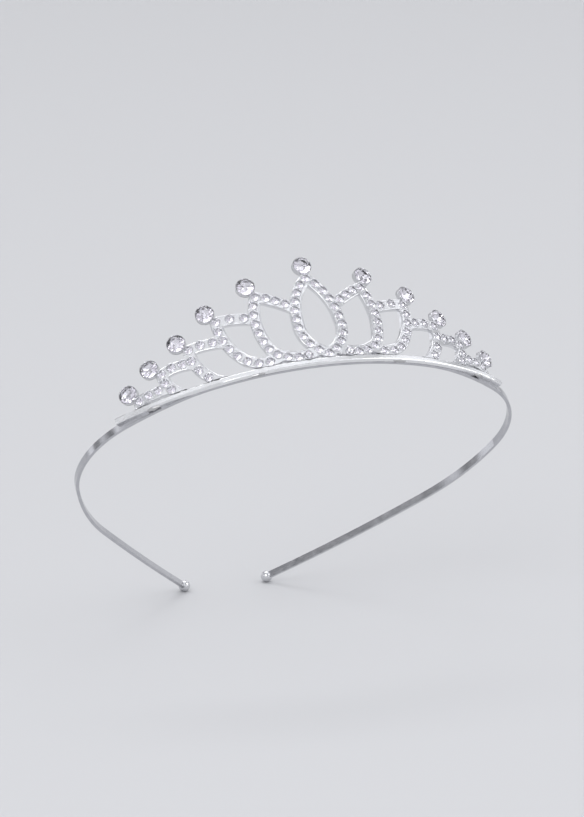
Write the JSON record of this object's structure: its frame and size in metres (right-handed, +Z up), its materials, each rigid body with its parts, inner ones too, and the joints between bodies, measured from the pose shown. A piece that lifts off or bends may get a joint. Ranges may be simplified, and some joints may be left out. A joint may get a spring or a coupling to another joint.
{
  "type": "bridal tiara",
  "caption": "Silver bridal tiara: a springy open headband with a front crown of stone-set petals, each tipped with a larger crystal in a cup.",
  "frame": {"origin": "midpoint between the centres of the two tip balls, where the band grips the back of the head", "axes": "+Z up in the worn attitude, -Y to the front where the crown is, +X to the wearer's left; the band's plane rises 47.5 degrees to the front"},
  "size_m": [0.1412, 0.0893, 0.123],
  "materials": {
    "band_metal": "silver-plated spring strip, smooth and bright",
    "rail_metal": "bright silver-plated bar",
    "petal_metal": "cast silver-plated frames, softly polished",
    "cup_metal": "bright silver-plated cups",
    "tip_metal": "bright silver-plated balls",
    "solder": "dull tin solder",
    "small_crystal": "clear foil-backed faceted stone",
    "large_crystal": "clear foil-backed faceted crystal"
  },
  "bodies": {
    "root": {"base_rail": "rail_metal", "crystal_centre": "large_crystal", "crystal_left_1": "large_crystal", "crystal_left_2": "large_crystal", "crystal_left_3": "large_crystal", "crystal_left_4": "large_crystal", "crystal_left_5": "large_crystal", "crystal_right_1": "large_crystal", "crystal_right_2": "large_crystal", "crystal_right_3": "large_crystal", "crystal_right_4": "large_crystal", "crystal_right_5": "large_crystal", "cup_centre": "cup_metal", "cup_left_1": "cup_metal", "cup_left_2": "cup_metal", "cup_left_3": "cup_metal", "cup_left_4": "cup_metal", "cup_left_5": "cup_metal", "cup_right_1": "cup_metal", "cup_right_2": "cup_metal", "cup_right_3": "cup_metal", "cup_right_4": "cup_metal", "cup_right_5": "cup_metal", "headband": "band_metal", "petal_centre": "petal_metal", "petal_left_1": "petal_metal", "petal_left_2": "petal_metal", "petal_left_3": "petal_metal", "petal_left_4": "petal_metal", "petal_left_5": "petal_metal", "petal_right_1": "petal_metal", "petal_right_2": "petal_metal", "petal_right_3": "petal_metal", "petal_right_4": "petal_metal", "petal_right_5": "petal_metal", "solder_left": "solder", "solder_right": "solder", "solder_tacks": "solder", "stones_centre": "small_crystal", "stones_left_1": "small_crystal", "stones_left_2": "small_crystal", "stones_left_3": "small_crystal", "stones_left_4": "small_crystal", "stones_left_5": "small_crystal", "stones_right_1": "small_crystal", "stones_right_2": "small_crystal", "stones_right_3": "small_crystal", "stones_right_4": "small_crystal", "stones_right_5": "small_crystal", "tip_ball_left": "tip_metal", "tip_ball_right": "tip_metal"}
  },
  "joints": []
}
